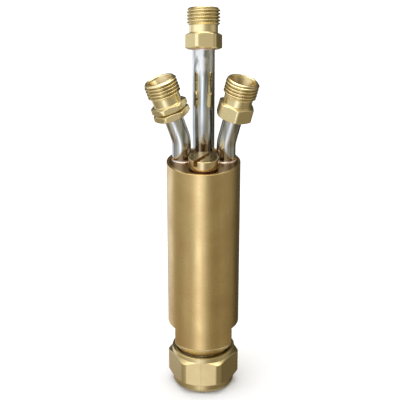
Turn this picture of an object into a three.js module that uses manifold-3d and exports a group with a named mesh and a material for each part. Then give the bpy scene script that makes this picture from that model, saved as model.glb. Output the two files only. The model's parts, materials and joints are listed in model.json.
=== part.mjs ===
// Bench and lathe torch for lampwork: a brass barrel with three brazed gas tubes,
// three threaded hose inlets on top and a burner tip held by a hexagonal nut below.
// Millimetres, +Z up. The origin is the middle of the flame face, on the barrel's axis,
// and -Y is the side that carries the slotted screw.

import * as THREE from "three";
import { mergeVertices } from "three/addons/utils/BufferGeometryUtils.js";
import Module from "manifold-3d";

const wasm = await Module();
wasm.setup();

// ---------------------------------------------------------------- driving dimensions

const INCH = 25.4;

const barrel = {
  radius: 1.25 * INCH / 2,
  top: 108.9,
  wall: 1.2,
  rimChamfer: 0.35,
  floor: 40,
  flatHalfWidth: INCH / 2,
  flatTop: 31.9,
  chamferTop: 24.2,
  end: 19,
  endRadius: 12.3,
};

const spigot = {
  radius: 0.875 * INCH / 2,
  threadDepth: 0.7,
  reliefHeight: 1.4,
  face: 8,
};

const plate = { top: 108.4, thickness: 8, clearance: 0.05 };

const tieScrew = {
  y: -6.7,
  headRadius: 6.4,
  headHeight: 4.3,
  headChamfer: 0.35,
  slotWidth: 2,
  slotDepth: 2.3,
  slotAngle: 57,
  shankRadius: 3,
  endChamfer: 0.6,
  tip: 31,
  tapClearance: 0.15,
  tapRunOut: 1,
};

const washer = { innerRadius: 3.3, outerRadius: 5.4, thickness: 0.7 };

// Fit of a tube in the hole or socket that it is brazed into.
const brazeGap = 0.1;

const tubeFloor = 35.2;
const socketFloor = 35;
const bendRadius = 14;
const tubeEndGap = 0.2;

// Each run starts upright at its foot and bends towards its inlet. The lean angles are
// sideways (+X) and backwards (+Y), and reach is from the bend to the inlet's rim.
const runs = {
  fuel: {
    foot: [-9.45, 3.4],
    radius: 4.1,
    bore: 3.1,
    bendHeight: 117.6,
    lean: -19.1,
    leanBack: 0,
    reach: 28.3,
    hexTurn: -21,
    grooved: true,
  },
  oxygen: {
    foot: [9.7, 3.2],
    radius: 4.1,
    bore: 3.1,
    bendHeight: 116.2,
    lean: 13.8,
    leanBack: -3.5,
    reach: 29.5,
    hexTurn: 5,
    grooved: false,
  },
  centre_oxygen: {
    foot: [0, 9],
    radius: 0.375 * INCH / 2,
    bore: 3.7,
    bendHeight: 146.3,
    lean: 0,
    leanBack: 21.2,
    reach: 26.6,
    hexTurn: -22,
    grooved: false,
  },
};

// Hose inlet: a 9/16 inch, 18 threads per inch nipple on a hexagon.
const inlet = {
  hexAcrossFlats: 0.5625 * INCH,
  hexCornerRadius: 7.95,
  hexHeight: 6.5,
  hexChamfer: 0.6,
  neckRadius: 6.12,
  neckHeight: 3.5,
  threadRadius: 0.5625 * INCH / 2,
  threadPitch: INCH / 18,
  threadDepth: 0.75,
  threadLength: 7.3,
  rimRadius: 6.25,
  mouthRadius: 5.7,
  mouthDepth: 1,
  seatTopRadius: 5.3,
  seatDepth: 5.3,
  boreRadius: 2.4,
  socketDepth: 4.5,
};
inlet.height = inlet.hexHeight + inlet.neckHeight + inlet.threadLength;

// The groove's depth is measured from the hexagon's corners.
const vGroove = { halfWidth: 0.75, depth: 1.7 };

const braze = { gap: 0.06, width: 0.4, height: 0.8, lift: 0.02 };

const nut = {
  acrossFlats: 1.125 * INCH,
  cornerRadius: 15.9,
  ringRadius: 14.1,
  collarRadius: 13.9,
  faceRadius: 11.9,
  top: 18.5,
  ringBottom: 17.1,
  hexTop: 15.3,
  hexBottom: 5.5,
  collarTop: 4.1,
  collarBottom: 2.1,
  collarEdgeInset: 0.5,
  collarEdgeHeight: 0.9,
  ringChamfer: 0.3,
  boreRadius: 11.35,
  boreChamfer: 0.5,
  lipRadius: 8.3,
  lipTop: 5,
  turn: 26,
};

const tip = {
  top: 7.9,
  flangeRadius: 10.7,
  flangeBottom: 5.05,
  noseRadius: 8,
  coreRadius: 4.9,
  coreFlangeRadius: 5.35,
  coreFlangeHeight: 1,
  coreGap: 0.04,
};

// Rings of ports in the flame face, and the channels above that feed them.
const ports = {
  inner: { count: 5, ringRadius: 1.25, radius: 0.35 },
  middle: { count: 8, ringRadius: 3.5, radius: 0.4 },
  outer: { count: 12, ringRadius: 6.35, radius: 0.45 },
  channelDepth: 1.3,
  channelHalfWidth: 0.5,
  innerRecessRadius: 1.65,
};

// Drilled gas ways. The two centre ways meet at joinHeight on the barrel's axis.
const gasWay = {
  fuelRadius: 0.6,
  fuelInset: 0.1,
  oxygenRadius: 0.5,
  centreSlantRadius: 1.3,
  centreDropRadius: 1.2,
  joinHeight: 13,
};

const seal = {
  rings: { inner: 2.3, middle: 4.9, outer: 7.75 },
  sectionRadius: 0.48,
  grooveHalfWidth: 0.55,
  grooveDepth: 0.95,
};

// Sides of the turned and drilled shapes.
const ROUND = 40;
const MEDIUM_ROUND = 36;
const SCREW_ROUND = 28;
const SMALL_ROUND = 20;
const RECESS_SIDES = 16;
const WAY_SIDES = 12;
const PORT_SIDES = 8;
const SEAL_SIDES = 6;
const BEND_STEPS = 3;

// How far a cutting shape runs past the face that it cuts.
const OVERCUT = 1;

// Vertices closer than this are one vertex.
const MERGE_DISTANCE = 1e-4;

// Where a thread's flat crest starts and ends, as shares of the pitch.
const CREST = { start: 0.4, end: 0.6 };

// ---------------------------------------------------------------- materials

const metal = (color, roughness) =>
  new THREE.MeshStandardMaterial({ color, roughness, metalness: 1 });

const finishes = {
  barrelBrass: () => metal(0xb0925a, 0.42),
  bodyBrass: () => metal(0xb39a5e, 0.35),
  nutBrass: () => metal(0xbfa768, 0.4),
  inletBrass: () => metal(0xc6a860, 0.35),
  screwBrass: () => metal(0xa8884e, 0.4),
  steel: () => metal(0xb9bab6, 0.2),
  silverBraze: () => metal(0xd8cdb8, 0.4),
  copper: () => metal(0xb8734a, 0.4),
  rubber: () => new THREE.MeshStandardMaterial({ color: 0x1a1a1a, roughness: 0.8, metalness: 0 }),
};

// ---------------------------------------------------------------- solid helpers

const point = (radius, height) => new THREE.Vector2(radius, height);

function signedVolume(positions, triangles) {
  const corner = (index) => new THREE.Vector3().fromArray(positions, 3 * index);
  let total = 0;
  for (let t = 0; t < triangles.length; t += 3) {
    const [a, b, c] = [corner(triangles[t]), corner(triangles[t + 1]), corner(triangles[t + 2])];
    total += a.dot(b.cross(c)) / 6;
  }
  return total;
}

// A closed geometry as a manifold solid, with its faces turned outwards.
function solidFrom(geometry) {
  const bare = geometry.clone();
  bare.deleteAttribute("normal");
  bare.deleteAttribute("uv");
  const merged = mergeVertices(bare, MERGE_DISTANCE);
  const positions = Float32Array.from(merged.attributes.position.array);
  const source = merged.index.array;
  const kept = [];
  for (let t = 0; t < source.length; t += 3) {
    const [a, b, c] = [source[t], source[t + 1], source[t + 2]];
    if (a !== b && b !== c && c !== a) kept.push(a, b, c);
  }
  if (signedVolume(positions, kept) < 0) kept.reverse();
  const data = { numProp: 3, vertProperties: positions, triVerts: Uint32Array.from(kept) };
  return new wasm.Manifold(new wasm.Mesh(data));
}

function geometryFrom(solid) {
  const mesh = solid.getMesh();
  const geometry = new THREE.BufferGeometry();
  geometry.setAttribute("position", new THREE.BufferAttribute(mesh.vertProperties, 3));
  geometry.setIndex(new THREE.BufferAttribute(mesh.triVerts, 1));
  geometry.computeVertexNormals();
  return geometry;
}

// A profile of (radius, height) points turned about the Z axis.
function turned(profile, segments = ROUND) {
  return solidFrom(new THREE.LatheGeometry(profile, segments).rotateX(Math.PI / 2));
}

// A ring of rectangular section.
function ring(innerRadius, outerRadius, bottom, top, segments = ROUND) {
  const corners = [
    point(innerRadius, bottom),
    point(outerRadius, bottom),
    point(outerRadius, top),
    point(innerRadius, top),
    point(innerRadius, bottom),
  ];
  return turned(corners, segments);
}

function cylinder(radius, bottom, top, x = 0, y = 0, segments = SMALL_ROUND) {
  const shape = new THREE.CylinderGeometry(radius, radius, top - bottom, segments);
  shape.rotateX(Math.PI / 2).translate(x, y, (top + bottom) / 2);
  return solidFrom(shape);
}

// A straight drilled way between two points.
function drilling(from, to, radius) {
  const start = new THREE.Vector3(...from);
  const along = new THREE.Vector3(...to).sub(start);
  const shape = new THREE.CylinderGeometry(radius, radius, along.length(), WAY_SIDES);
  const turn = new THREE.Quaternion().setFromUnitVectors(
    new THREE.Vector3(0, 1, 0),
    along.clone().normalize(),
  );
  const middle = start.addScaledVector(along, 0.5);
  shape.applyQuaternion(turn).translate(middle.x, middle.y, middle.z);
  return solidFrom(shape);
}

function box(width, depth, height, x, y, z) {
  return solidFrom(new THREE.BoxGeometry(width, depth, height).translate(x, y, z));
}

function hexagon(acrossFlats, bottom, top) {
  const radius = acrossFlats / Math.sqrt(3);
  const shape = new THREE.CylinderGeometry(radius, radius, top - bottom, 6);
  shape.rotateX(Math.PI / 2).translate(0, 0, (top + bottom) / 2);
  return solidFrom(shape);
}

const cut = (solid, tools) => tools.reduce((rest, tool) => rest.subtract(tool), solid);

// Points of a thread's outline from bottom to top: sharp crests with roots between them.
function threadOutline(bottom, length, crestRadius, depth, pitch) {
  const turns = Math.floor(length / pitch);
  const start = bottom + (length - turns * pitch) / 2;
  const outline = [];
  for (let turn = 0; turn < turns; turn += 1) {
    const low = start + turn * pitch;
    outline.push(point(crestRadius - depth, low));
    outline.push(point(crestRadius, low + CREST.start * pitch));
    outline.push(point(crestRadius, low + CREST.end * pitch));
  }
  outline.push(point(crestRadius - depth, start + turns * pitch));
  return outline;
}

function ringOfPorts({ count, ringRadius, radius }, bottom, top) {
  return Array.from({ length: count }, (_, index) => {
    const angle = (2 * Math.PI * index) / count;
    const x = ringRadius * Math.cos(angle);
    const y = ringRadius * Math.sin(angle);
    return cylinder(radius, bottom, top, x, y, PORT_SIDES);
  });
}

// ---------------------------------------------------------------- scene helpers

const torch = new THREE.Group();

function addPiece(name, solid, finish, parent = torch) {
  const mesh = new THREE.Mesh(geometryFrom(solid), finish());
  mesh.name = name;
  parent.add(mesh);
  return mesh;
}

// ---------------------------------------------------------------- barrel

// The barrel is one turned bar: a deep cup above, and below its floor a solid seat block
// that carries the wrench flats, the gas ways and the threaded spigot for the tip nut.
function makeBarrel() {
  const { radius, top, wall, rimChamfer, floor, end, endRadius } = barrel;
  const reliefRadius = spigot.radius - spigot.threadDepth;
  const reliefBottom = end - spigot.reliefHeight;
  const profile = [
    point(0, spigot.face),
    point(reliefRadius, spigot.face),
    point(spigot.radius, spigot.face + spigot.threadDepth),
    point(spigot.radius, reliefBottom - spigot.threadDepth),
    point(reliefRadius, reliefBottom),
    point(reliefRadius, end),
    point(endRadius, end),
    point(radius, barrel.chamferTop),
    point(radius, top - rimChamfer),
    point(radius - rimChamfer, top),
    point(radius - wall, top),
    point(radius - wall, floor),
    point(0, floor),
  ];
  const flatDepth = radius - barrel.flatHalfWidth + OVERCUT;
  const flatX = barrel.flatHalfWidth + flatDepth / 2;
  const flatBottom = end - OVERCUT;
  const flatHeight = barrel.flatTop - flatBottom;
  const flatMiddle = flatBottom + flatHeight / 2;
  const flats = [-1, 1].map((side) =>
    box(flatDepth, 3 * radius, flatHeight, side * flatX, 0, flatMiddle),
  );
  const tapped = cylinder(
    tieScrew.shankRadius + tieScrew.tapClearance,
    tieScrew.tip - tieScrew.tapRunOut,
    floor + OVERCUT,
    0,
    tieScrew.y,
  );
  return cut(turned(profile), [...flats, tapped, ...tubeSockets(), ...gasWays(), ...sealGrooves()]);
}

function tubeSockets() {
  return Object.values(runs).map(({ foot, radius }) =>
    cylinder(radius + brazeGap, socketFloor, barrel.floor + OVERCUT, foot[0], foot[1]),
  );
}

// Fuel feeds the outer channel of the tip, oxygen the middle one, and centre oxygen the
// recess in the middle.
function gasWays() {
  const { fuel, oxygen, centre_oxygen: centre } = runs;
  const towards = ([x, y], radius) => {
    const scale = radius / Math.hypot(x, y);
    return [scale * x, scale * y, spigot.face - OVERCUT];
  };
  const startHeight = socketFloor + OVERCUT;
  const { joinHeight } = gasWay;
  const fuelStart = [...fuel.foot, startHeight];
  const oxygenStart = [...oxygen.foot, startHeight];
  const fuelRing = ports.outer.ringRadius - gasWay.fuelInset;
  const dropTop = joinHeight + OVERCUT;
  return [
    drilling(fuelStart, towards(fuel.foot, fuelRing), gasWay.fuelRadius),
    drilling(oxygenStart, towards(oxygen.foot, ports.middle.ringRadius), gasWay.oxygenRadius),
    drilling([...centre.foot, startHeight], [0, 0, joinHeight], gasWay.centreSlantRadius),
    cylinder(gasWay.centreDropRadius, spigot.face - OVERCUT, dropTop, 0, 0, WAY_SIDES),
  ];
}

function sealGrooves() {
  return Object.values(seal.rings).map((radius) =>
    ring(
      radius - seal.grooveHalfWidth,
      radius + seal.grooveHalfWidth,
      spigot.face - OVERCUT,
      spigot.face + seal.grooveDepth,
      SMALL_ROUND,
    ),
  );
}

// ---------------------------------------------------------------- top plate and its screw

function makeTopPlate() {
  const radius = barrel.radius - barrel.wall - plate.clearance;
  const bottom = plate.top - plate.thickness;
  const disc = cylinder(radius, bottom, plate.top, 0, 0, ROUND);
  const holes = Object.values(runs).map((run) =>
    cylinder(
      run.radius + brazeGap,
      bottom - OVERCUT,
      plate.top + OVERCUT,
      run.foot[0],
      run.foot[1],
    ),
  );
  const screwHole = cylinder(
    washer.innerRadius,
    bottom - OVERCUT,
    plate.top + OVERCUT,
    0,
    tieScrew.y,
  );
  return cut(disc, [...holes, screwHole]);
}

function makeTieScrew() {
  const { headRadius, headHeight, headChamfer, shankRadius, endChamfer, tip: end } = tieScrew;
  const underHead = plate.top + washer.thickness;
  const headTop = underHead + headHeight;
  const profile = [
    point(0, end),
    point(shankRadius - endChamfer, end),
    point(shankRadius, end + endChamfer),
    point(shankRadius, underHead),
    point(headRadius, underHead),
    point(headRadius, headTop - headChamfer),
    point(headRadius - headChamfer, headTop),
    point(0, headTop),
  ];
  const slot = solidFrom(
    new THREE.BoxGeometry(3 * headRadius, tieScrew.slotWidth, 2 * tieScrew.slotDepth)
      .rotateZ(THREE.MathUtils.degToRad(tieScrew.slotAngle))
      .translate(0, 0, headTop),
  );
  return turned(profile, SCREW_ROUND).subtract(slot);
}

// ---------------------------------------------------------------- gas tubes

// An upright line, a circular bend and a leaning line. Equal steps of the parameter are the
// two lines and the equal steps of the bend.
class BentPath extends THREE.Curve {
  constructor(run, endReach, bendSteps) {
    super();
    this.up = new THREE.Vector3(0, 0, 1);
    this.lean = leanDirection(run);
    this.side = this.lean.clone().setZ(0).normalize();
    this.angle = Math.acos(this.lean.z);
    this.corner = new THREE.Vector3(run.foot[0], run.foot[1], run.bendHeight);
    this.tangentLength = bendRadius * Math.tan(this.angle / 2);
    this.start = new THREE.Vector3(run.foot[0], run.foot[1], tubeFloor);
    this.bendStart = this.corner.clone().addScaledVector(this.up, -this.tangentLength);
    this.bendEnd = this.corner.clone().addScaledVector(this.lean, this.tangentLength);
    this.end = this.corner.clone().addScaledVector(this.lean, endReach);
    this.steps = bendSteps + 2;
  }

  bendAngle(t) {
    const share = (t * this.steps - 1) / (this.steps - 2);
    return this.angle * THREE.MathUtils.clamp(share, 0, 1);
  }

  getPoint(t, target = new THREE.Vector3()) {
    const place = t * this.steps;
    if (place <= 1) return target.lerpVectors(this.start, this.bendStart, place);
    if (place >= this.steps - 1) {
      return target.lerpVectors(this.bendEnd, this.end, place - this.steps + 1);
    }
    const angle = this.bendAngle(t);
    return target
      .copy(this.bendStart)
      .addScaledVector(this.up, bendRadius * Math.sin(angle))
      .addScaledVector(this.side, bendRadius * (1 - Math.cos(angle)));
  }

  getTangent(t, target = new THREE.Vector3()) {
    const angle = this.bendAngle(t);
    return target
      .copy(this.up)
      .multiplyScalar(Math.cos(angle))
      .addScaledVector(this.side, Math.sin(angle));
  }

  getPointAt(u, target) {
    return this.getPoint(u, target);
  }

  getTangentAt(u, target) {
    return this.getTangent(u, target);
  }
}

function leanDirection({ lean, leanBack }) {
  const sideways = THREE.MathUtils.degToRad(lean);
  const back = THREE.MathUtils.degToRad(leanBack);
  return new THREE.Vector3(
    Math.sin(sideways) * Math.cos(back),
    Math.sin(back),
    Math.cos(sideways) * Math.cos(back),
  );
}

function makeTube(run) {
  const endReach = run.reach - inlet.height + inlet.socketDepth - tubeEndGap;
  const path = new BentPath(run, endReach, BEND_STEPS);
  const section = new THREE.Shape();
  section.absarc(0, 0, run.radius, 0, 2 * Math.PI, false);
  const hollow = new THREE.Path();
  hollow.absarc(0, 0, run.bore, 0, 2 * Math.PI, true);
  section.holes.push(hollow);
  const swept = new THREE.ExtrudeGeometry(section, {
    steps: path.steps,
    curveSegments: SMALL_ROUND / 2,
    extrudePath: path,
    bevelEnabled: false,
  });
  return solidFrom(swept);
}

// ---------------------------------------------------------------- hose inlets

// The inlet stands on its hexagon: height 0 is the hexagon's lower face.
function makeInlet(run) {
  const { hexHeight, hexChamfer, neckHeight, threadLength, height } = inlet;
  const neckTop = hexHeight + neckHeight;
  const limit = turned(hexLimits(run.grooved), MEDIUM_ROUND);
  const hex = hexagon(inlet.hexAcrossFlats, 0, hexHeight).intersect(limit);
  const spoutProfile = [
    point(0, hexChamfer),
    point(inlet.neckRadius, hexChamfer),
    point(inlet.neckRadius, neckTop),
    ...threadOutline(
      neckTop,
      threadLength,
      inlet.threadRadius,
      inlet.threadDepth,
      inlet.threadPitch,
    ),
    point(inlet.rimRadius, height),
    point(0, height),
  ];
  const boreProfile = [
    point(0, -OVERCUT),
    point(run.radius + brazeGap, -OVERCUT),
    point(run.radius + brazeGap, inlet.socketDepth),
    point(inlet.boreRadius, inlet.socketDepth),
    point(inlet.boreRadius, height - inlet.seatDepth),
    point(inlet.seatTopRadius, height - inlet.mouthDepth),
    point(inlet.mouthRadius, height),
    point(inlet.mouthRadius, height + OVERCUT),
    point(0, height + OVERCUT),
  ];
  return hex
    .add(turned(spoutProfile, SMALL_ROUND))
    .subtract(turned(boreProfile, SMALL_ROUND));
}

// The turned outline that rounds the hexagon's corners. A left-hand fuel inlet has a V
// groove round the middle of its hexagon.
function hexLimits(grooved) {
  const { hexCornerRadius: corner, hexHeight, hexChamfer } = inlet;
  const edge = corner - 2 * hexChamfer;
  const middle = hexHeight / 2;
  const groove = [
    point(corner, middle - vGroove.halfWidth),
    point(corner - vGroove.depth, middle),
    point(corner, middle + vGroove.halfWidth),
  ];
  return [
    point(0, 0),
    point(edge, 0),
    point(corner, hexChamfer),
    ...(grooved ? groove : []),
    point(corner, hexHeight - hexChamfer),
    point(edge, hexHeight),
    point(0, hexHeight),
  ];
}

// A fillet of silver braze round a tube, wide at its foot.
function makeBrazeRing(tubeRadius) {
  const inner = tubeRadius + braze.gap;
  const outer = tubeRadius + braze.width;
  const low = braze.lift;
  const profile = [
    point(inner, low),
    point(outer, low),
    point(inner, low + braze.height),
    point(inner, low),
  ];
  return turned(profile, SMALL_ROUND);
}

// ---------------------------------------------------------------- burner tip and its nut

function makeTipNut() {
  const hexLimit = turned([
    point(0, nut.collarTop),
    point(nut.collarRadius, nut.collarTop),
    point(nut.cornerRadius, nut.hexBottom),
    point(nut.cornerRadius, nut.hexTop),
    point(nut.ringRadius, nut.ringBottom),
    point(0, nut.ringBottom),
  ]);
  const hex = hexagon(nut.acrossFlats, 0, nut.top).intersect(hexLimit);
  const turnedBody = turned([
    point(0, 0),
    point(nut.faceRadius, 0),
    point(nut.collarRadius - nut.collarEdgeInset, nut.collarEdgeHeight),
    point(nut.collarRadius, nut.collarBottom),
    point(nut.collarRadius, nut.collarTop),
    point(nut.ringRadius, nut.hexBottom),
    point(nut.ringRadius, nut.top - nut.ringChamfer),
    point(nut.ringRadius - nut.ringChamfer, nut.top),
    point(0, nut.top),
  ]);
  const bore = turned([
    point(0, -OVERCUT),
    point(nut.lipRadius, -OVERCUT),
    point(nut.lipRadius, nut.lipTop),
    point(nut.boreRadius, nut.lipTop),
    point(nut.boreRadius, nut.top - nut.boreChamfer),
    point(nut.boreRadius + nut.boreChamfer, nut.top),
    point(nut.boreRadius + nut.boreChamfer, nut.top + OVERCUT),
    point(0, nut.top + OVERCUT),
  ]);
  return hex.add(turnedBody).subtract(bore);
}

function makeTipShell() {
  const { outer, channelDepth, channelHalfWidth } = ports;
  const boreRadius = tip.coreRadius + tip.coreGap;
  const counterbore = tip.coreFlangeRadius + tip.coreGap;
  const counterboreFloor = tip.top - tip.coreFlangeHeight - tip.coreGap;
  const profile = [
    point(boreRadius, 0),
    point(tip.noseRadius, 0),
    point(tip.noseRadius, tip.flangeBottom),
    point(tip.flangeRadius, tip.flangeBottom),
    point(tip.flangeRadius, tip.top),
    point(counterbore, tip.top),
    point(counterbore, counterboreFloor),
    point(boreRadius, counterboreFloor),
    point(boreRadius, 0),
  ];
  const channel = ring(
    outer.ringRadius - channelHalfWidth,
    outer.ringRadius + channelHalfWidth,
    tip.top - channelDepth,
    tip.top + OVERCUT,
    SMALL_ROUND,
  );
  return cut(turned(profile, MEDIUM_ROUND), [channel, ...ringOfPorts(outer, -OVERCUT, tip.top)]);
}

function makeTipCore() {
  const { inner, middle, channelDepth, channelHalfWidth, innerRecessRadius } = ports;
  const flangeBottom = tip.top - tip.coreFlangeHeight;
  const profile = [
    point(0, 0),
    point(tip.coreRadius, 0),
    point(tip.coreRadius, flangeBottom),
    point(tip.coreFlangeRadius, flangeBottom),
    point(tip.coreFlangeRadius, tip.top),
    point(0, tip.top),
  ];
  const channel = ring(
    middle.ringRadius - channelHalfWidth,
    middle.ringRadius + channelHalfWidth,
    tip.top - channelDepth,
    tip.top + OVERCUT,
    SMALL_ROUND,
  );
  const recess = cylinder(
    innerRecessRadius,
    tip.top - channelDepth,
    tip.top + OVERCUT,
    0,
    0,
    RECESS_SIDES,
  );
  return cut(turned(profile, MEDIUM_ROUND), [
    channel,
    recess,
    ...ringOfPorts(middle, -OVERCUT, tip.top),
    ...ringOfPorts(inner, -OVERCUT, tip.top),
  ]);
}

// An O-ring of six-sided section, lying against the tip's upper face.
function makeSealRing(radius) {
  const middle = tip.top + seal.sectionRadius;
  const section = Array.from({ length: SEAL_SIDES + 1 }, (_, index) => {
    const angle = (2 * Math.PI * index) / SEAL_SIDES;
    return point(
      radius + seal.sectionRadius * Math.cos(angle),
      middle + seal.sectionRadius * Math.sin(angle),
    );
  });
  return turned(section, SMALL_ROUND);
}

// ---------------------------------------------------------------- assembly

addPiece("barrel", makeBarrel(), finishes.barrelBrass);
addPiece("top_plate", makeTopPlate(), finishes.bodyBrass);

const washerSolid = ring(washer.innerRadius, washer.outerRadius, 0, washer.thickness, SMALL_ROUND);
addPiece("screw_washer", washerSolid, finishes.copper).position.set(0, tieScrew.y, plate.top);
addPiece("tie_screw", makeTieScrew(), finishes.screwBrass).position.y = tieScrew.y;

for (const [gas, run] of Object.entries(runs)) {
  addPiece(`${gas}_tube`, makeTube(run), finishes.steel);

  const brazeSolid = makeBrazeRing(run.radius);
  const plateRing = addPiece(`${gas}_plate_braze`, brazeSolid, finishes.silverBraze);
  plateRing.position.set(run.foot[0], run.foot[1], plate.top);
  const floorRing = addPiece(`${gas}_floor_braze`, brazeSolid, finishes.silverBraze);
  floorRing.position.set(run.foot[0], run.foot[1], barrel.floor);

  const leaning = new THREE.Group();
  const direction = leanDirection(run);
  leaning.position.set(run.foot[0], run.foot[1], run.bendHeight);
  leaning.position.addScaledVector(direction, run.reach - inlet.height);
  leaning.quaternion.setFromUnitVectors(new THREE.Vector3(0, 0, 1), direction);
  torch.add(leaning);
  const fitting = addPiece(`${gas}_inlet`, makeInlet(run), finishes.inletBrass, leaning);
  fitting.rotation.z = THREE.MathUtils.degToRad(run.hexTurn);
  const inletRing = addPiece(`${gas}_inlet_braze`, brazeSolid, finishes.silverBraze, leaning);
  inletRing.rotation.x = Math.PI;
}

for (const [name, radius] of Object.entries(seal.rings)) {
  addPiece(`${name}_seal_ring`, makeSealRing(radius), finishes.rubber);
}
addPiece("tip_shell", makeTipShell(), finishes.nutBrass);
addPiece("tip_core", makeTipCore(), finishes.copper);
const tipNut = addPiece("tip_nut", makeTipNut(), finishes.nutBrass);
tipNut.rotation.z = THREE.MathUtils.degToRad(nut.turn);

export default torch;
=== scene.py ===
"""Looks of the lampwork torch: brass barrel, steel gas tubes, threaded inlets and tip nut."""

import json
import math

import bmesh
import bpy
import numpy as np
from mathutils import Matrix, Vector


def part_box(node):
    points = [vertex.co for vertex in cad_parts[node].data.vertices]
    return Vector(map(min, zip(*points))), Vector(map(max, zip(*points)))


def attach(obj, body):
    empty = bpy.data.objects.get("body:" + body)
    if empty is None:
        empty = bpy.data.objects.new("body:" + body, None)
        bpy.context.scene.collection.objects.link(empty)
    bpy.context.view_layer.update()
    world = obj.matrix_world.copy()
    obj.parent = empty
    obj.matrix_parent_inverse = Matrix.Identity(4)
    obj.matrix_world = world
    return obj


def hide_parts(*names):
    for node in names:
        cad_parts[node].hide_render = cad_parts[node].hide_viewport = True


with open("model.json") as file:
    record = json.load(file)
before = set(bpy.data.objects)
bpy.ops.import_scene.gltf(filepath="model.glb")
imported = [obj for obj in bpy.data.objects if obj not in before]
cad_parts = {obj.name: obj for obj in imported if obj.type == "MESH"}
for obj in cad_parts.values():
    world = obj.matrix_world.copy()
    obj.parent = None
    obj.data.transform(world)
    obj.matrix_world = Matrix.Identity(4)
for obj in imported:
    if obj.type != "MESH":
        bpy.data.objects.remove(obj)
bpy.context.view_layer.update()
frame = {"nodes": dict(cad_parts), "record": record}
nodes = frame["nodes"]

MM = 0.001
TAU = 2 * math.pi
THREADED_SHARP = 75


# ------------------------------------------------------------------ reading the CAD


def size_of(node):
    low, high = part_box(node)
    return low / MM, high / MM


def rounded(points, radius=0.2, steps=3, closed=False):
    """A profile with each sharp corner turned into a short arc."""
    result = []
    count = len(points)
    for i, here in enumerate(points):
        if not closed and i in (0, count - 1):
            result.append(here)
            continue
        before, after = np.array(points[i - 1]), np.array(points[(i + 1) % count])
        corner = np.array(here, float)
        back, ahead = before - corner, after - corner
        reach_back, reach_ahead = np.linalg.norm(back), np.linalg.norm(ahead)
        if reach_back < 1e-6 or reach_ahead < 1e-6:
            result.append(here)
            continue
        back, ahead = back / reach_back, ahead / reach_ahead
        angle = math.acos(max(-1, min(1, float(back @ ahead))))
        if angle > math.radians(172) or angle < math.radians(5):
            result.append(here)
            continue
        reach = min(radius / math.tan(angle / 2), 0.45 * reach_back, 0.45 * reach_ahead)
        start, end = corner + back * reach, corner + ahead * reach
        for k in range(steps + 1):
            t = k / steps
            point = start * (1 - t) ** 2 + corner * 2 * t * (1 - t) + end * t**2
            result.append((float(point[0]), float(point[1])))
    return result


def softened_min(a, b, softness):
    gap = np.maximum(0, 1 - np.abs(a - b) / softness)
    return np.minimum(a, b) - softness * gap**2 / 4


def subdivided(start, end, steps):
    return [
        (
            start[0] + (end[0] - start[0]) * k / steps,
            start[1] + (end[1] - start[1]) * k / steps,
        )
        for k in range(steps + 1)
    ]


def solid(name, rows, closed=False, sharp=32):
    """A mesh from rings of points in millimetres. A ring whose points meet becomes one pole."""
    mesh = bpy.data.meshes.new(name)
    verts, faces, rings = [], [], []
    for row in rows:
        if np.ptp(row, axis=0).max() < 1e-6:
            rings.append([len(verts)])
            verts.append(row[0] * MM)
        else:
            rings.append(list(range(len(verts), len(verts) + len(row))))
            verts.extend(row * MM)
    pairs = list(zip(rings, rings[1:]))
    if closed:
        pairs.append((rings[-1], rings[0]))
    for low, high in pairs:
        count = max(len(low), len(high))
        for k in range(count):
            n = (k + 1) % count
            if len(low) == 1:
                faces.append((low[0], high[n], high[k]))
            elif len(high) == 1:
                faces.append((low[k], low[n], high[0]))
            else:
                faces.append((low[k], low[n], high[n], high[k]))
    mesh.from_pydata([tuple(v) for v in verts], [], faces)
    tidy(mesh, sharp)
    thing = bpy.data.objects.new(name, mesh)
    bpy.context.scene.collection.objects.link(thing)
    return thing


def tidy(mesh, sharp):
    shape = bmesh.new()
    shape.from_mesh(mesh)
    bmesh.ops.remove_doubles(shape, verts=shape.verts, dist=2e-7)
    bmesh.ops.recalc_face_normals(shape, faces=shape.faces)
    shape.to_mesh(mesh)
    shape.free()
    mesh.shade_smooth()
    mesh.set_sharp_from_angle(angle=math.radians(sharp))


def turned(name, profile, sides=128, limit=None, closed=False, sharp=32):
    """A turned piece from (radius, height) pairs, where a radius may be a function of the angle.

    limit(angles, radii, height) may cut the plain radii back at each angle.
    """
    angles = np.arange(sides) * TAU / sides
    rows = []
    for radius, height in profile:
        if callable(radius):
            ring = radius(angles)
        else:
            ring = np.full(sides, float(radius))
            if limit is not None and radius > 0:
                ring = limit(angles, ring, height)
        heights = np.full(sides, height)
        rows.append(np.stack([ring * np.cos(angles), ring * np.sin(angles), heights], 1))
    return solid(name, rows, closed, sharp)


def hex_limit(across, turn_deg, softness=0.25, low=-1e9, high=1e9):
    """Flats of a hexagon whose first face looks along turn_deg."""
    turn = math.radians(turn_deg)

    def limit(angles, ring, height):
        if not low <= height <= high:
            return ring
        off = (angles - turn + math.pi / 6) % (math.pi / 3) - math.pi / 6
        return softened_min(ring, across / 2 / np.cos(off), softness)

    return limit


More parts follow.
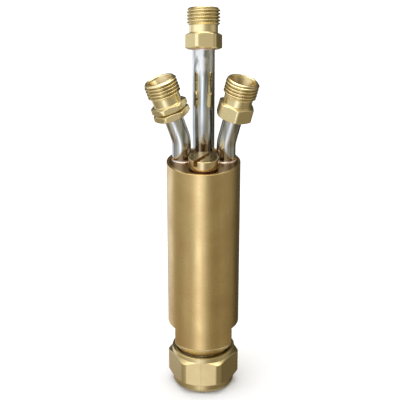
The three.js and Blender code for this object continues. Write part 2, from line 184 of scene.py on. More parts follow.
def thread_rows(bottom, top, crest, depth, pitch, hand, per_turn, start=None):
    """Rows of a helical thread as (radius function, height) pairs.

    hand is 1 for a right-hand thread and -1 for a left-hand one. The thread grows out of its
    root over the first half turn. start is the radius of a chamfer at its upper end.
    """
    root_share, flank_share, rounding = 0.07, 0.33, 0.35
    chamfer_slope = 0.95
    rows = []
    count = int((top - bottom) / pitch * per_turn)
    for k in range(count + 1):
        height = bottom + (top - bottom) * k / count

        def ring(angles, height=height):
            phase = (height / pitch - hand * angles / TAU) % 1.0
            ridge = np.clip((0.5 - np.abs(phase - 0.5) - root_share) / flank_share, 0, 1)
            smooth = ridge * ridge * (3 - 2 * ridge)
            ridge = smooth * rounding + ridge * (1 - rounding)
            grow = min(1.0, (height - bottom) / (0.5 * pitch) + 0.02)
            radius = crest - depth + depth * ridge * grow
            if start is not None:
                radius = softened_min(radius, start + chamfer_slope * (top - height), 0.1)
            return radius

        rows.append((ring, height))
    return rows


def cut_away(thing, tools, bevel=0.0):
    """Boolean cuts, kept as mesh. The tools are removed."""
    for tool in tools:
        modifier = thing.modifiers.new("cut", "BOOLEAN")
        modifier.operation = "DIFFERENCE"
        modifier.solver = "EXACT"
        modifier.object = tool
    if bevel:
        modifier = thing.modifiers.new("edge", "BEVEL")
        modifier.width = bevel * MM
        modifier.segments = 2
        modifier.limit_method = "ANGLE"
        modifier.angle_limit = math.radians(40)
    bpy.context.view_layer.update()
    graph = bpy.context.evaluated_depsgraph_get()
    mesh = bpy.data.meshes.new_from_object(thing.evaluated_get(graph))
    thing.modifiers.clear()
    thing.data = mesh
    mesh.shade_smooth()
    mesh.set_sharp_from_angle(angle=math.radians(32))
    for tool in tools:
        bpy.data.objects.remove(tool)
    return thing


def block(width, depth, height, centre, turn):
    mesh = bpy.data.meshes.new("tool")
    shape = bmesh.new()
    bmesh.ops.create_cube(shape, size=1)
    bmesh.ops.scale(shape, vec=Vector((width, depth, height)) * MM, verts=shape.verts)
    shape.to_mesh(mesh)
    shape.free()
    thing = bpy.data.objects.new("tool", mesh)
    bpy.context.scene.collection.objects.link(thing)
    thing.matrix_world = Matrix.Translation(Vector(centre) * MM) @ Matrix.Rotation(turn, 4, "Z")
    return thing


def peg(radius, low, high, x, y, sides):
    profile = [(0, low), (radius, low), (radius, high), (0, high)]
    thing = turned("tool", profile, sides)
    thing.matrix_world = Matrix.Translation(Vector((x, y, 0)) * MM)
    return thing


# ------------------------------------------------------------------ materials


class Shader:
    """A few short calls that build a node material."""

    def __init__(self, name):
        self.material = bpy.data.materials.new(name)
        self.material.use_nodes = True
        self.tree = self.material.node_tree
        self.bsdf = self.tree.nodes["Principled BSDF"]
        self.coordinate = self.tree.nodes.new("ShaderNodeTexCoord").outputs["Object"]

    def node(self, kind, **values):
        made = self.tree.nodes.new(kind)
        for key, value in values.items():
            setattr(made, key, value)
        return made

    def feed(self, socket, value):
        if isinstance(value, bpy.types.NodeSocket):
            self.tree.links.new(value, socket)
        else:
            socket.default_value = value

    def stretched(self, scale):
        made = self.node("ShaderNodeMapping")
        self.feed(made.inputs["Vector"], self.coordinate)
        made.inputs["Scale"].default_value = scale
        return made.outputs["Vector"]

    def noise(self, scale, detail=3.0, vector=None, rough=0.5):
        made = self.node("ShaderNodeTexNoise")
        self.feed(made.inputs["Vector"], self.coordinate if vector is None else vector)
        made.inputs["Scale"].default_value = scale
        made.inputs["Detail"].default_value = detail
        made.inputs["Roughness"].default_value = rough
        return made.outputs["Fac"]

    def spread(self, value, low, high, to_low=0.0, to_high=1.0):
        made = self.node("ShaderNodeMapRange")
        made.clamp = True
        self.feed(made.inputs["Value"], value)
        made.inputs["From Min"].default_value = low
        made.inputs["From Max"].default_value = high
        made.inputs["To Min"].default_value = to_low
        made.inputs["To Max"].default_value = to_high
        return made.outputs["Result"]

    def math(self, operation, a, b=0.0):
        made = self.node("ShaderNodeMath", operation=operation)
        self.feed(made.inputs[0], a)
        self.feed(made.inputs[1], b)
        return made.outputs[0]

    def mix(self, factor, a, b):
        made = self.node("ShaderNodeMix", data_type="RGBA")
        self.feed(made.inputs["Factor"], factor)
        self.feed(made.inputs["A"], a)
        self.feed(made.inputs["B"], b)
        return made.outputs["Result"]

    def bump(self, height, strength, distance, normal=None):
        made = self.node("ShaderNodeBump")
        self.feed(made.inputs["Height"], height)
        made.inputs["Strength"].default_value = strength
        made.inputs["Distance"].default_value = distance
        if normal is not None:
            self.feed(made.inputs["Normal"], normal)
        return made.outputs["Normal"]

    def painted_shade(self, color, shade_color, distance=0.0012, depth=0.5):
        """Painted shade: darkens the corners and grooves towards a dark brown, by ambient occlusion."""
        made = self.node("ShaderNodeAmbientOcclusion")
        made.inputs["Distance"].default_value = distance
        made.samples = 8
        share = self.spread(made.outputs["AO"], 0.35, 0.95, depth, 0.0)
        return self.mix(share, color, (*shade_color, 1))

    def finish(self, color, roughness, normal=None, metallic=1.0):
        self.feed(self.bsdf.inputs["Base Color"], color)
        self.feed(self.bsdf.inputs["Roughness"], roughness)
        self.bsdf.inputs["Metallic"].default_value = metallic
        if normal is not None:
            self.feed(self.bsdf.inputs["Normal"], normal)
        return self.material


def metal(name, base, tarnish, rough, lathe=0.3, amount=0.35, streak=0.18, highlight_below=None):
    """Machined metal: turning marks round Z, faint tarnish patches and small scratches.

    Below a given height the colour is paler: a painted highlight.
    """
    s = Shader(name)
    patch = s.spread(s.noise(70.0, 4.0), 0.38, 0.72)
    fine = s.noise(900.0, 2.0)
    rings = s.noise(1.0, 3.0, s.stretched((20.0, 20.0, 5200.0)), 0.7)
    streaks = s.noise(1.0, 2.0, s.stretched((420.0, 420.0, 26.0)), 0.6)
    scratch = s.spread(s.noise(1.0, 1.0, s.stretched((3100.0, 2300.0, 160.0))), 0.70, 0.78)
    shade = s.math("MULTIPLY", patch, amount)
    color = s.mix(shade, (*base, 1), (*tarnish, 1))
    darker = tuple((1 - streak) * c for c in base)
    color = s.mix(s.spread(streaks, 0.45, 0.62, 0.0, 0.35 + streak), color, (*darker, 1))
    roughness = s.math("ADD", s.spread(fine, 0.3, 0.7, rough - 0.015, rough + 0.02),
                       s.math("MULTIPLY", patch, 0.07))
    # Painted highlight: paler colour below the given height.
    if highlight_below is not None:
        split = s.node("ShaderNodeSeparateXYZ")
        s.feed(split.inputs[0], s.coordinate)
        highlight_share = s.spread(split.outputs[2], highlight_below, highlight_below + 0.0002, 1.0, 0.0)
        color = s.mix(highlight_share, color, (1.0, 0.87, 0.58, 1))
    # Painted shade in corners and grooves.
    color = s.painted_shade(color, tuple(0.3 * c for c in tarnish), depth=0.45)
    normal = s.bump(rings, lathe, 3e-6)
    normal = s.bump(scratch, 0.2, 4e-6, normal)
    return s.finish(color, roughness, normal)


def milled(name, base, tarnish, rough, reach=0.0012, score=None, mouth=None):
    """Milled metal: fine marks across the flats.

    score is the x of a scored line on the front flat. mouth is the radius and the height of
    an opening whose inside gets painted shade, darker with depth.
    """
    s = Shader(name)
    patch = s.spread(s.noise(95.0, 4.0), 0.38, 0.72)
    marks = s.noise(1.0, 3.0, s.stretched((60.0, 60.0, 3400.0)), 0.7)
    fine = s.noise(1100.0, 2.0)
    scratch = s.spread(s.noise(1.0, 1.0, s.stretched((2600.0, 2600.0, 90.0))), 0.72, 0.79)
    color = s.mix(s.math("MULTIPLY", patch, 0.3), (*base, 1), (*tarnish, 1))
    roughness = s.math("ADD", s.spread(fine, 0.3, 0.7, rough - 0.02, rough + 0.03),
                       s.math("MULTIPLY", patch, 0.07))
    split = s.node("ShaderNodeSeparateXYZ")
    s.feed(split.inputs[0], s.coordinate)
    # Painted shade inside the opening, darker with depth.
    if mouth is not None:
        radius, top = mouth
        away = s.node("ShaderNodeVectorMath", operation="LENGTH")
        s.feed(away.inputs[0], s.stretched((1.0, 1.0, 0.0)))
        inside = s.spread(away.outputs["Value"], radius - 0.0001, radius, 1.0, 0.0)
        depth = s.spread(split.outputs[2], top - 0.0035, top, 0.85, 0.3)
        color = s.mix(s.math("MULTIPLY", inside, depth), color, (0.34, 0.22, 0.09, 1))
    if score is not None:
        off = s.math("ABSOLUTE", s.math("SUBTRACT", split.outputs[0], score))
        on_front = s.math("LESS_THAN", split.outputs[1], 0.0)
        line = s.math("MULTIPLY", s.math("LESS_THAN", off, 7e-5), on_front)
        line = s.math("MULTIPLY", line, s.spread(s.noise(260.0, 2.0), 0.35, 0.6))
        color = s.mix(line, color, (0.30, 0.22, 0.12, 1))
    # Painted shade in corners and grooves, out to the distance reach.
    color = s.painted_shade(color, tuple(0.3 * c for c in tarnish), reach, 0.5)
    normal = s.bump(marks, 0.2, 3e-6)
    normal = s.bump(scratch, 0.2, 4e-6, normal)
    return s.finish(color, roughness, normal)


def braze_metal():
    s = Shader("silver_braze")
    lumps = s.noise(700.0, 3.0)
    patch = s.spread(s.noise(300.0, 3.0), 0.4, 0.65)
    color = s.mix(patch, (0.86, 0.80, 0.72, 1), (0.78, 0.58, 0.46, 1))
    roughness = s.spread(lumps, 0.3, 0.7, 0.24, 0.42)
    return s.finish(color, roughness, s.bump(lumps, 0.5, 4e-5))


def rubber():
    s = Shader("seal_rubber")
    grain = s.noise(1500.0, 3.0)
    color = s.mix(s.spread(grain, 0.3, 0.7), (0.02, 0.02, 0.02, 1), (0.05, 0.05, 0.05, 1))
    return s.finish(color, s.spread(grain, 0.3, 0.7, 0.6, 0.8), s.bump(grain, 0.3, 1e-5), 0.0)


MATERIALS = {
    # The barrel is painted paler below 24.1 mm, a painted highlight on its lower end chamfer.
    "barrel_brass": metal(
        "barrel_brass", (0.90, 0.66, 0.29), (0.60, 0.36, 0.13), 0.25, amount=0.6, highlight_below=0.0241
    ),
    # The plate's brass is painted much darker than the barrel's: painted shade on the top face.
    "plate_brass": metal("plate_brass", (0.38, 0.24, 0.10), (0.26, 0.15, 0.06), 0.28),
    "screw_brass": metal("screw_brass", (0.82, 0.62, 0.32), (0.46, 0.30, 0.13), 0.21),
    # The nut's painted shade reaches 4.5 mm, so it also darkens the nut near the floor and the barrel.
    "nut_brass": milled(
        "nut_brass", (0.77, 0.61, 0.30), (0.54, 0.36, 0.15), 0.27, 0.0045, score=-0.00107
    ),
    # Inlet brass has painted shade inside its mouths.
    "inlet_brass": milled(
        "inlet_brass", (0.95, 0.79, 0.42), (0.72, 0.54, 0.25), 0.25, 0.0009, mouth=(0.0055, 0.0171)
    ),
    "copper": metal("copper", (0.72, 0.42, 0.26), (0.40, 0.20, 0.12), 0.34),
    "tube_steel": metal(
        "tube_steel", (0.76, 0.75, 0.68), (0.44, 0.41, 0.35), 0.14, lathe=0.1, streak=0.6
    ),
    "silver_braze": braze_metal(),
    "seal_rubber": rubber(),
}

SLOT_OF = {row["node"]: row["material_slot"] for row in frame["record"]["subparts"]}
BODY_OF = {
    node: body
    for body, members in frame["record"]["behaviour"]["bodies"].items()
    for node in members
}


def fit_out(thing, node):
    """Gives a piece its finish and lets it ride in place of its CAD node."""
    thing.data.materials.clear()
    thing.data.materials.append(MATERIALS[SLOT_OF[node]])
    weighted = thing.modifiers.new("weighted", "WEIGHTED_NORMAL")
    weighted.keep_sharp = True
    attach(thing, BODY_OF[node])
    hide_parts(node)
    return thing


# ------------------------------------------------------------------ barrel

PLATE_LOW, PLATE_HIGH = size_of("top_plate")
PLATE_TOP = PLATE_HIGH.z
PLATE_BOTTOM = PLATE_LOW.z
BARREL_LOW, BARREL_HIGH = size_of("barrel")
BARREL_R = BARREL_HIGH.x
RIM_TOP = BARREL_HIGH.z
WALL = 1.2
CUP_R = BARREL_R - WALL
FLOOR = 40.0
FLAT_X = 12.7
FLAT_TOP = 31.9
SHOULDER = 24.2
END = 19.0
END_R = 12.3
SPIGOT_R = 11.11
SPIGOT_PITCH = 25.4 / 14
SPIGOT_DEPTH = 0.85
RELIEF_R = SPIGOT_R - 0.9
RELIEF_BOTTOM = END - 1.4


def make_barrel():
    def flats(angles, ring, height):
        if height > FLAT_TOP or ring.max() < FLAT_X - 0.5:
            return ring
        return softened_min(ring, FLAT_X / np.maximum(1e-6, np.abs(np.cos(angles))), 0.16)

    low = BARREL_LOW.z
    profile = [(0, low), (RELIEF_R, low)]
    profile += thread_rows(low + 0.2, RELIEF_BOTTOM, SPIGOT_R, SPIGOT_DEPTH, SPIGOT_PITCH, 1, 14)
    profile += [(RELIEF_R, RELIEF_BOTTOM + 0.1), (RELIEF_R, END)]
    profile += [(END_R - 0.2, END), (END_R, END + 0.12)]
    profile += subdivided((END_R, END + 0.14), (BARREL_R - 0.03, SHOULDER), 16)
    profile += [(BARREL_R, SHOULDER + 0.12)]
    profile += subdivided((BARREL_R, SHOULDER + 0.4), (BARREL_R, FLAT_TOP - 0.02), 4)
    profile += [(BARREL_R, FLAT_TOP), (BARREL_R, FLAT_TOP + 0.001), (BARREL_R, FLAT_TOP + 0.4)]
    profile += subdivided((BARREL_R, FLAT_TOP + 6), (BARREL_R, RIM_TOP - 0.5), 8)
    rim = [
        (BARREL_R, RIM_TOP - 0.4),
        (BARREL_R, RIM_TOP),
        (CUP_R, RIM_TOP),
        (CUP_R, RIM_TOP - 0.3),
    ]
    profile += rounded(rim, 0.16, 4)[1:]
    profile += [(CUP_R, FLOOR), (0, FLOOR)]
    return turned("barrel_body", profile, 288, flats, sharp=THREADED_SHARP)


fit_out(make_barrel(), "barrel")

# ------------------------------------------------------------------ tubes and inlets

RUNS = {
    "fuel": {"lean": -19.1, "back": 0.0, "bend": 117.6, "reach": 28.3, "turn": -21, "left_hand": True},
    "oxygen": {"lean": 13.8, "back": -3.5, "bend": 116.2, "reach": 29.5, "turn": 5},
    "centre_oxygen": {"lean": 0.0, "back": 21.2, "bend": 146.3, "reach": 26.6, "turn": -22},
}
BEND_RADIUS = 14.0
TUBE_WALL = 1.0
TUBE_IN_SOCKET = 4.2
BRAZE_GAP = 0.1

INLET_HEIGHT = 17.3
HEX_ACROSS = 14.2875
HEX_HEIGHT = 6.5
HEX_CORNER = 7.95
HEX_EDGE = HEX_CORNER - 1.15
HEX_CHAMFER = 0.6
GROOVE_HALF = 0.7
GROOVE_DEPTH = 1.55
NECK_R = 6.12
NECK_TOP = 10.0
NIPPLE_R = 7.13
NIPPLE_DEPTH = 0.85
NIPPLE_PITCH = 25.4 / 18
NIPPLE_TIP_R = 6.45
SEAT_R = 5.3
SEAT_DEPTH = 5.3
BORE_R = 2.4
SOCKET_DEPTH = 4.5


def run_direction(run):
    lean, back = math.radians(run["lean"]), math.radians(run["back"])
    return Vector(
        (math.sin(lean) * math.cos(back), math.sin(back), math.cos(lean) * math.cos(back))
    )


def foot_of(gas):
    low, high = size_of(f"{gas}_plate_braze")
    return (low.x + high.x) / 2, (low.y + high.y) / 2, (high.x - low.x) / 2 - 0.4


def sweep(name, points, tangents, side, outer, inner, sides=72):
    """A hollow tube along a planar path."""
    rows = []
    angles = np.arange(sides) * TAU / sides

    def ring(at, along, radius):
        across = side.cross(along).normalized()
        return np.array(
            [at + radius * (math.cos(a) * side + math.sin(a) * across) for a in angles]
        )

    for at, along in zip(points, tangents):
        rows.append(ring(at, along, outer))
    for at, along in reversed(list(zip(points, tangents))):
        rows.append(ring(at, along, inner))
    return solid(name, rows, closed=True)


def make_tube(gas):
    run = RUNS[gas]
    x, y, radius = foot_of(gas)
    up, lean = Vector((0, 0, 1)), run_direction(run)
    corner = Vector((x, y, run["bend"]))
    angle = math.acos(lean.z)
    tangent = BEND_RADIUS * math.tan(angle / 2)
    sideways = (lean - up * lean.z).normalized()
    side = sideways.cross(up).normalized()
    start = corner - up * tangent
    lowest = size_of(f"{gas}_tube")[0].z
    points = [Vector((x, y, lowest)), Vector((x, y, PLATE_TOP)), start]
    tangents = [up, up, up]
    steps = 14
    for k in range(1, steps + 1):
        a = angle * k / steps
        rise, drift = math.sin(a), 1 - math.cos(a)
        points.append(start + up * BEND_RADIUS * rise + sideways * BEND_RADIUS * drift)
        tangents.append(up * math.cos(a) + sideways * math.sin(a))
    points.append(corner + lean * (run["reach"] - INLET_HEIGHT + TUBE_IN_SOCKET))
    tangents.append(lean)
    return sweep(f"{gas}_pipe", points, tangents, side, radius, radius - TUBE_WALL)


def make_inlet(gas):
    """Hexagon, neck and threaded nipple. Left-hand ones have a V groove round the hexagon."""
    run = RUNS[gas]
    left_hand = run.get("left_hand", False)
    tube_radius = foot_of(gas)[2] + BRAZE_GAP
    middle = HEX_HEIGHT / 2
    outline = [(tube_radius, 0), (HEX_EDGE, 0)]
    outline += subdivided((HEX_EDGE, 0.02), (HEX_CORNER, HEX_CHAMFER), 8)
    if left_hand:
        root = HEX_CORNER - GROOVE_DEPTH
        outline += [(HEX_CORNER, middle - 1.1), (HEX_CORNER, middle - GROOVE_HALF - 0.02)]
        outline += subdivided((HEX_CORNER, middle - GROOVE_HALF), (root, middle), 6)
        outline += subdivided((root, middle), (HEX_CORNER, middle + GROOVE_HALF), 6)[1:]
        outline += [(HEX_CORNER, middle + GROOVE_HALF + 0.02), (HEX_CORNER, middle + 1.1)]
    else:
        outline += [(HEX_CORNER, middle)]
    outline += subdivided((HEX_CORNER, HEX_HEIGHT - HEX_CHAMFER), (HEX_EDGE, HEX_HEIGHT - 0.02), 8)
    outline += [(HEX_EDGE, HEX_HEIGHT), (NECK_R + 0.33, HEX_HEIGHT), (NECK_R + 0.08, HEX_HEIGHT + 0.08)]
    outline += [(NECK_R, HEX_HEIGHT + 0.35), (NECK_R, NECK_TOP - 0.2), (NECK_R + 0.03, NECK_TOP)]
    thread_low, thread_high = NECK_TOP + 0.05, INLET_HEIGHT - 0.15
    hand = -1 if left_hand else 1
    outline += thread_rows(
        thread_low, thread_high, NIPPLE_R, NIPPLE_DEPTH, NIPPLE_PITCH, hand, 24, NIPPLE_TIP_R
    )
    mouth = [
        (6.32, INLET_HEIGHT - 0.08),
        (6.22, INLET_HEIGHT),
        (5.72, INLET_HEIGHT),
        (5.45, INLET_HEIGHT - 0.35),
        (SEAT_R, INLET_HEIGHT - 1.0),
        (BORE_R, INLET_HEIGHT - SEAT_DEPTH),
        (BORE_R, SOCKET_DEPTH),
        (tube_radius, SOCKET_DEPTH),
        (tube_radius, 0.2),
    ]
    outline += rounded(mouth, 0.12, 2)
    flats = hex_limit(HEX_ACROSS, run["turn"] - 60, 0.22, -1, HEX_HEIGHT + 0.001)

    def limit(angles, ring, height):
        return ring if ring.max() < HEX_EDGE - 0.3 else flats(angles, ring, height)

    thing = turned(f"{gas}_fitting", outline, 180, limit, closed=True, sharp=THREADED_SHARP)
    lean = run_direction(run)
    x, y, _ = foot_of(gas)
    base = Vector((x, y, run["bend"])) + lean * (run["reach"] - INLET_HEIGHT)
    turn = Vector((0, 0, 1)).rotation_difference(lean)
    thing.matrix_world = Matrix.Translation(base * MM) @ turn.to_matrix().to_4x4()
    return thing


def make_fillet(name, radius, matrix, width, height, phase):
    """A braze fillet with a slightly wandering edge."""
    sides, steps, lift, uneven = 72, 8, 0.02, 0.15
    angles = np.arange(sides) * TAU / sides
    slow = 0.5 * np.sin(2 * angles + phase)
    medium = 0.3 * np.sin(5 * angles + 2.1 * phase)
    quick = 0.2 * np.sin(9 * angles + phase)
    wander = 1 + uneven * (slow + medium + quick)
    rows = []
    for k in range(steps + 1):
        t = k / steps
        ring = radius + width * (1 - t) ** 2 * wander + lift
        up = height * t**2 * wander + lift
        rows.append(np.stack([ring * np.cos(angles), ring * np.sin(angles), up], 1))
    inner = radius + lift / 2
    for up in (height * wander, np.full_like(angles, lift)):
        rows.append(np.stack([inner * np.cos(angles), inner * np.sin(angles), up], 1))
    thing = solid(name, rows, closed=True)
    thing.matrix_world = matrix
    return thing


for index, gas in enumerate(RUNS):
    x, y, radius = foot_of(gas)
    fit_out(make_tube(gas), f"{gas}_tube")
    fitting = make_inlet(gas)
    place = fitting.matrix_world.copy()
    fit_out(fitting, f"{gas}_inlet")
    foot = Matrix.Translation(Vector((x, y, PLATE_TOP)) * MM)
    fit_out(
        make_fillet(f"{gas}_foot_fillet", radius, foot, 0.5, 0.8, index + 1),
        f"{gas}_plate_braze",
    )
    under = place @ Matrix.Rotation(math.pi, 4, "X")
    fit_out(
        make_fillet(f"{gas}_top_fillet", radius, under, 0.9, 0.9, index + 5),
        f"{gas}_inlet_braze",
    )

# ------------------------------------------------------------------ top plate, screw, washer


WASHER_BORE = 3.3
WASHER_R = 5.4
SHANK_R = 3.0
SLOT_WIDTH = 2.0
SLOT_DEPTH = 2.3
SLOT_TURN = math.radians(57)


def make_plate():
    radius = CUP_R - 0.05
    outline = [(0, PLATE_BOTTOM), (radius, PLATE_BOTTOM), (radius, PLATE_TOP), (0, PLATE_TOP)]
    thing = turned("plate", rounded(outline, 0.15), 160)
    holes = []
    for gas in RUNS:
        x, y, tube_radius = foot_of(gas)
        holes.append(peg(tube_radius + BRAZE_GAP, PLATE_BOTTOM - 1, PLATE_TOP + 1, x, y, 72))
    low, high = size_of("tie_screw")
    holes.append(peg(WASHER_BORE, PLATE_BOTTOM - 1, PLATE_TOP + 1, 0, (low.y + high.y) / 2, 48))
    return cut_away(thing, holes)


def make_screw():
    low, high = size_of("tie_screw")
    radius = (high.x - low.x) / 2
    y = (low.y + high.y) / 2
    under = size_of("screw_washer")[1].z
    head = [
        (SHANK_R, under - 1.5),
        (SHANK_R, under),
        (radius, under),
        (radius, high.z),
        (0, high.z),
    ]
    thread_depth, pitch, thread_top = 0.55, 1.27, low.z + 9
    profile = [(0, low.z), (SHANK_R - 0.5, low.z)]
    profile += thread_rows(low.z + 0.1, thread_top, SHANK_R, thread_depth, pitch, 1, 12)
    profile += [(SHANK_R, thread_top + 0.4)]
    profile += rounded(head, 0.38, 5)
    thing = turned("slotted_screw", profile, 128, sharp=THREADED_SHARP)
    slot = block(4 * radius, SLOT_WIDTH, 2 * SLOT_DEPTH, (0, 0, high.z), SLOT_TURN)
    cut_away(thing, [slot], 0.10)
    thing.matrix_world = Matrix.Translation(Vector((0, y, 0)) * MM)
    return thing


def make_washer():
    low, high = size_of("screw_washer")
    outline = [(WASHER_BORE, low.z), (WASHER_R, low.z), (WASHER_R, high.z), (WASHER_BORE, high.z)]
    thing = turned("thin_washer", rounded(outline, 0.08, 2, True), 96, closed=True)
    thing.matrix_world = Matrix.Translation(Vector((0, (low.y + high.y) / 2, 0)) * MM)
    return thing


fit_out(make_plate(), "top_plate")
fit_out(make_screw(), "tie_screw")
fit_out(make_washer(), "screw_washer")

# ------------------------------------------------------------------ tip nut and tip


NUT_TOP = size_of("tip_nut")[1].z
NUT_ACROSS = 28.575
NUT_FACE_TURN = -94
NUT_CORNER = 15.9
NUT_RING_R = 14.1
NUT_COLLAR_R = 13.9
NUT_THREAD_R = 11.95
COLLAR_TOP = 4.1
HEX_LOW = 5.5
HEX_HIGH = 15.22
RING_LOW = 16.4
LIP_R = 8.3
LIP_TOP = 5.0


def make_nut():
    outline = [(LIP_R, 0.25), (LIP_R + 0.2, 0), (11.6, 0), (12.2, 0.12), (13.1, 0.65), (13.7, 1.4)]
    outline += [(NUT_COLLAR_R, 2.1), (NUT_COLLAR_R, COLLAR_TOP - 0.05)]
    outline += subdivided((NUT_COLLAR_R, COLLAR_TOP), (NUT_CORNER - 0.04, HEX_LOW), 16)
    outline += [(NUT_CORNER, height) for height in (HEX_LOW + 0.15, 8, 12, HEX_HIGH - 0.12)]
    outline += subdivided((NUT_CORNER - 0.04, HEX_HIGH), (NUT_RING_R + 0.06, RING_LOW), 16)
    outline += [(NUT_RING_R, RING_LOW + 0.2), (NUT_RING_R, NUT_TOP - 0.3)]
    outline += [(NUT_RING_R - 0.08, NUT_TOP - 0.08), (NUT_RING_R - 0.3, NUT_TOP)]
    outline += [(NUT_THREAD_R, NUT_TOP), (NUT_THREAD_R - 0.15, NUT_TOP - 0.1)]
    outline += [(NUT_THREAD_R - 0.55, NUT_TOP - 0.6)]
    thread = thread_rows(LIP_TOP + 0.8, NUT_TOP - 0.8, NUT_THREAD_R, 0.6, SPIGOT_PITCH, 1, 12)
    outline += thread[::-1]
    outline += [(NUT_THREAD_R + 0.05, LIP_TOP + 0.6), (NUT_THREAD_R + 0.05, LIP_TOP + 0.02)]
    outline += [(LIP_R, LIP_TOP)]
    flats = hex_limit(NUT_ACROSS, NUT_FACE_TURN, 0.28, COLLAR_TOP - 0.05, RING_LOW + 0.1)

    def limit(angles, ring, height):
        return ring if ring.max() < NUT_COLLAR_R - 0.01 else flats(angles, ring, height)

    return turned("gland_nut", outline, 360, limit, closed=True, sharp=THREADED_SHARP)


TIP_TOP = 7.9
SHELL_BORE = 4.94
NOSE_R = 8.0
FLANGE_R = 10.7
FLANGE_LOW = LIP_TOP + 0.05
CORE_R = 4.9
CORE_FLANGE_R = 5.35
CORE_FLANGE_LOW = TIP_TOP - 1.0
CORE_GAP = 0.04


def ports(count, ring, radius):
    """Drills for a ring of ports through the burner tip."""
    drills = []
    for k in range(count):
        angle = TAU * k / count
        drills.append(peg(radius, -1, 9, ring * math.cos(angle), ring * math.sin(angle), 20))
    return drills


def make_shell():
    counterbore = CORE_FLANGE_R + CORE_GAP
    outline = [
        (SHELL_BORE, 0),
        (NOSE_R, 0),
        (NOSE_R, FLANGE_LOW),
        (FLANGE_R, FLANGE_LOW),
        (FLANGE_R, TIP_TOP),
        (counterbore, TIP_TOP),
        (counterbore, CORE_FLANGE_LOW - CORE_GAP),
        (SHELL_BORE, CORE_FLANGE_LOW - CORE_GAP),
    ]
    thing = turned("burner_shell", rounded(outline, 0.1, 2, True), 128, closed=True)
    return cut_away(thing, ports(12, 6.35, 0.45))


def make_core():
    outline = [(0, 0), (CORE_R, 0), (CORE_R, CORE_FLANGE_LOW), (CORE_FLANGE_R, CORE_FLANGE_LOW)]
    outline += [(CORE_FLANGE_R, TIP_TOP), (0, TIP_TOP)]
    thing = turned("burner_core", rounded(outline, 0.1, 2), 96)
    return cut_away(thing, ports(8, 3.5, 0.4) + ports(5, 1.25, 0.35))


fit_out(make_nut(), "tip_nut")
fit_out(make_shell(), "tip_shell")
fit_out(make_core(), "tip_core")

for name, node in nodes.items():
    if not node.hide_render:
        node.data.materials.clear()
        node.data.materials.append(MATERIALS[SLOT_OF[name]])

# ------------------------------------------------------------------ floor, light, camera


def make_floor():
    mesh = bpy.data.meshes.new("floor")
    reach = 4.0
    mesh.from_pydata(
        [(-reach, -reach, 0), (reach, -reach, 0), (reach, reach, 0), (-reach, reach, 0)],
        [],
        [(0, 1, 2, 3)],
    )
    floor = bpy.data.objects.new("floor", mesh)
    bpy.context.scene.collection.objects.link(floor)
    floor.location.z = -0.00005
    floor.visible_glossy = False
    s = Shader("floor_paint")
    grain = s.noise(12.0, 3.0)
    color = s.mix(s.spread(grain, 0.3, 0.7), (0.95, 0.95, 0.95, 1), (0.97, 0.97, 0.97, 1))
    mesh.materials.append(s.finish(color, 0.9, None, 0.0))


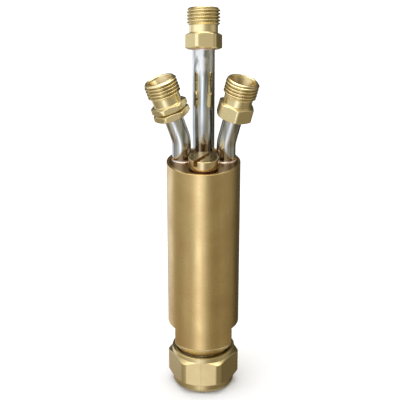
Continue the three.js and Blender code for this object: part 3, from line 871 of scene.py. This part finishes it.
def make_world():
    """A studio round the torch: brightness changes with direction, as soft boxes and flags do."""
    world = bpy.data.worlds.new("studio")
    bpy.context.scene.world = world
    world.use_nodes = True
    tree = world.node_tree
    background = tree.nodes["Background"]
    coordinate = tree.nodes.new("ShaderNodeTexCoord")
    split = tree.nodes.new("ShaderNodeSeparateXYZ")
    tree.links.new(coordinate.outputs["Generated"], split.inputs[0])

    def math_node(operation, a, b):
        made = tree.nodes.new("ShaderNodeMath")
        made.operation = operation
        for socket, value in zip(made.inputs, (a, b)):
            if isinstance(value, bpy.types.NodeSocket):
                tree.links.new(value, socket)
            else:
                socket.default_value = value
        return made.outputs[0]

    def ramp(value, stops):
        made = tree.nodes.new("ShaderNodeValToRGB")
        tree.links.new(value, made.inputs[0])
        elements = made.color_ramp.elements
        while len(elements) < len(stops):
            elements.new(0.5)
        for element, (place, color) in zip(elements, stops):
            element.position = place
            element.color = (*color, 1)
        return made.outputs[0]

    def blend(factor, a, b, kind="MIX"):
        made = tree.nodes.new("ShaderNodeMix")
        made.data_type = "RGBA"
        made.blend_type = kind
        for key, value in (("Factor", factor), ("A", a), ("B", b)):
            if isinstance(value, bpy.types.NodeSocket):
                tree.links.new(value, made.inputs[key])
            else:
                made.inputs[key].default_value = value
        return made.outputs["Result"]

    def lamp(level):
        """The colour of a brightness: dim directions are warmer than bright ones."""
        warm = min(1.0, max(-0.6, 1.4 - 2.2 * level))
        return (level, level * (1 - 0.09 * warm), level * (1 - 0.34 * warm))

    def compass(levels):
        """A ring of directions: 0 looks towards the camera's side, and left is negative."""
        return ramp(share, [(0.5 + degrees / 360, lamp(level)) for degrees, level in levels])

    front = math_node("MULTIPLY", split.outputs[1], -1.0)
    turn = math_node("ARCTAN2", split.outputs[0], front)
    share = math_node("ADD", math_node("DIVIDE", turn, TAU), 0.5)
    up = split.outputs[2]
    down = math_node("MULTIPLY", up, -1.0)
    low_ring = compass([
        (-180, 0.34), (-150, 0.82), (-124, 0.92), (-104, 0.45), (-78, 0.36), (-59, 0.50),
        (-40, 0.52), (-26, 0.80), (-14, 1.40), (-3, 0.88), (11, 0.42), (26, 0.28), (42, 0.28),
        (59, 0.34), (100, 0.25), (125, 0.07), (150, 0.07), (180, 0.25),
    ])
    high_ring = compass([
        (-180, 0.05), (-140, 0.08), (-105, 0.7), (-75, 1.2), (-50, 1.2), (-14, 1.2), (15, 0.5),
        (50, 0.3), (85, 0.55), (110, 0.35), (140, 0.06), (180, 0.05),
    ])
    foot_ring = compass([
        (-180, 0.30), (-150, 0.32), (-124, 0.34), (-104, 0.30), (-78, 0.36), (-59, 0.50),
        (-40, 0.52), (-26, 0.85), (-14, 1.35), (-3, 1.05), (11, 0.60), (26, 0.30), (42, 0.26),
        (59, 0.30), (100, 0.24), (125, 0.10), (150, 0.10), (180, 0.25),
    ])
    fall = ramp(down, [
        (0.15, (1.25, 1.28, 1.30)), (0.33, (1.14, 1.20, 1.28)), (0.39, (1.07, 1.14, 1.28)),
        (0.45, (1.0, 0.98, 1.0)), (0.50, (0.95, 0.86, 0.81)), (0.53, (0.92, 0.88, 0.82)),
    ])
    white, black = (1, 1, 1), (0, 0, 0)
    half_up = math_node("ADD", math_node("MULTIPLY", up, 0.5), 0.5)
    rise = ramp(half_up, [(0.42, black), (0.5, white)])
    zenith = ramp(up, [(0.7, black), (0.95, white)])
    nadir = ramp(down, [(0.72, black), (0.9, white)])
    below = ramp(down, [(0.495, black), (0.525, white)])
    color = blend(1.0, blend(below, low_ring, foot_ring), fall, "MULTIPLY")
    color = blend(rise, color, high_ring)
    color = blend(zenith, color, (0.8, 0.8, 0.8, 1))
    color = blend(nadir, color, (0.75, 0.74, 0.70, 1))
    tree.links.new(color, background.inputs["Color"])
    background.inputs["Strength"].default_value = 1.0


def area(name, where, aim, size, energy):
    light = bpy.data.lights.new(name, "AREA")
    light.shape = "RECTANGLE"
    light.size, light.size_y = size
    light.energy = energy
    thing = bpy.data.objects.new(name, light)
    bpy.context.scene.collection.objects.link(thing)
    thing.location = where
    thing.rotation_mode = "QUATERNION"
    thing.rotation_quaternion = (Vector(aim) - Vector(where)).to_track_quat("-Z", "Y")
    return thing


def make_camera():
    data = bpy.data.cameras.new("camera")
    camera = bpy.data.objects.new("camera", data)
    bpy.context.scene.collection.objects.link(camera)
    bpy.context.scene.camera = camera
    data.sensor_width = 36.0
    data.lens = 107.5
    data.clip_start, data.clip_end = 0.01, 50
    pitch, distance = math.radians(24), 0.520
    aim = Vector((-0.00152, 0, 0.0906))
    back = Vector((0, -math.cos(pitch), math.sin(pitch)))
    camera.location = aim + back * distance
    camera.rotation_mode = "QUATERNION"
    camera.rotation_quaternion = (-back).to_track_quat("-Z", "Y")


make_floor()
make_world()
area("overhead", (0.0, 0.3, 2.2), (0, 0, 0), (2.4, 2.4), 44.0)
make_camera()
bpy.context.scene.view_settings.view_transform = "Standard"
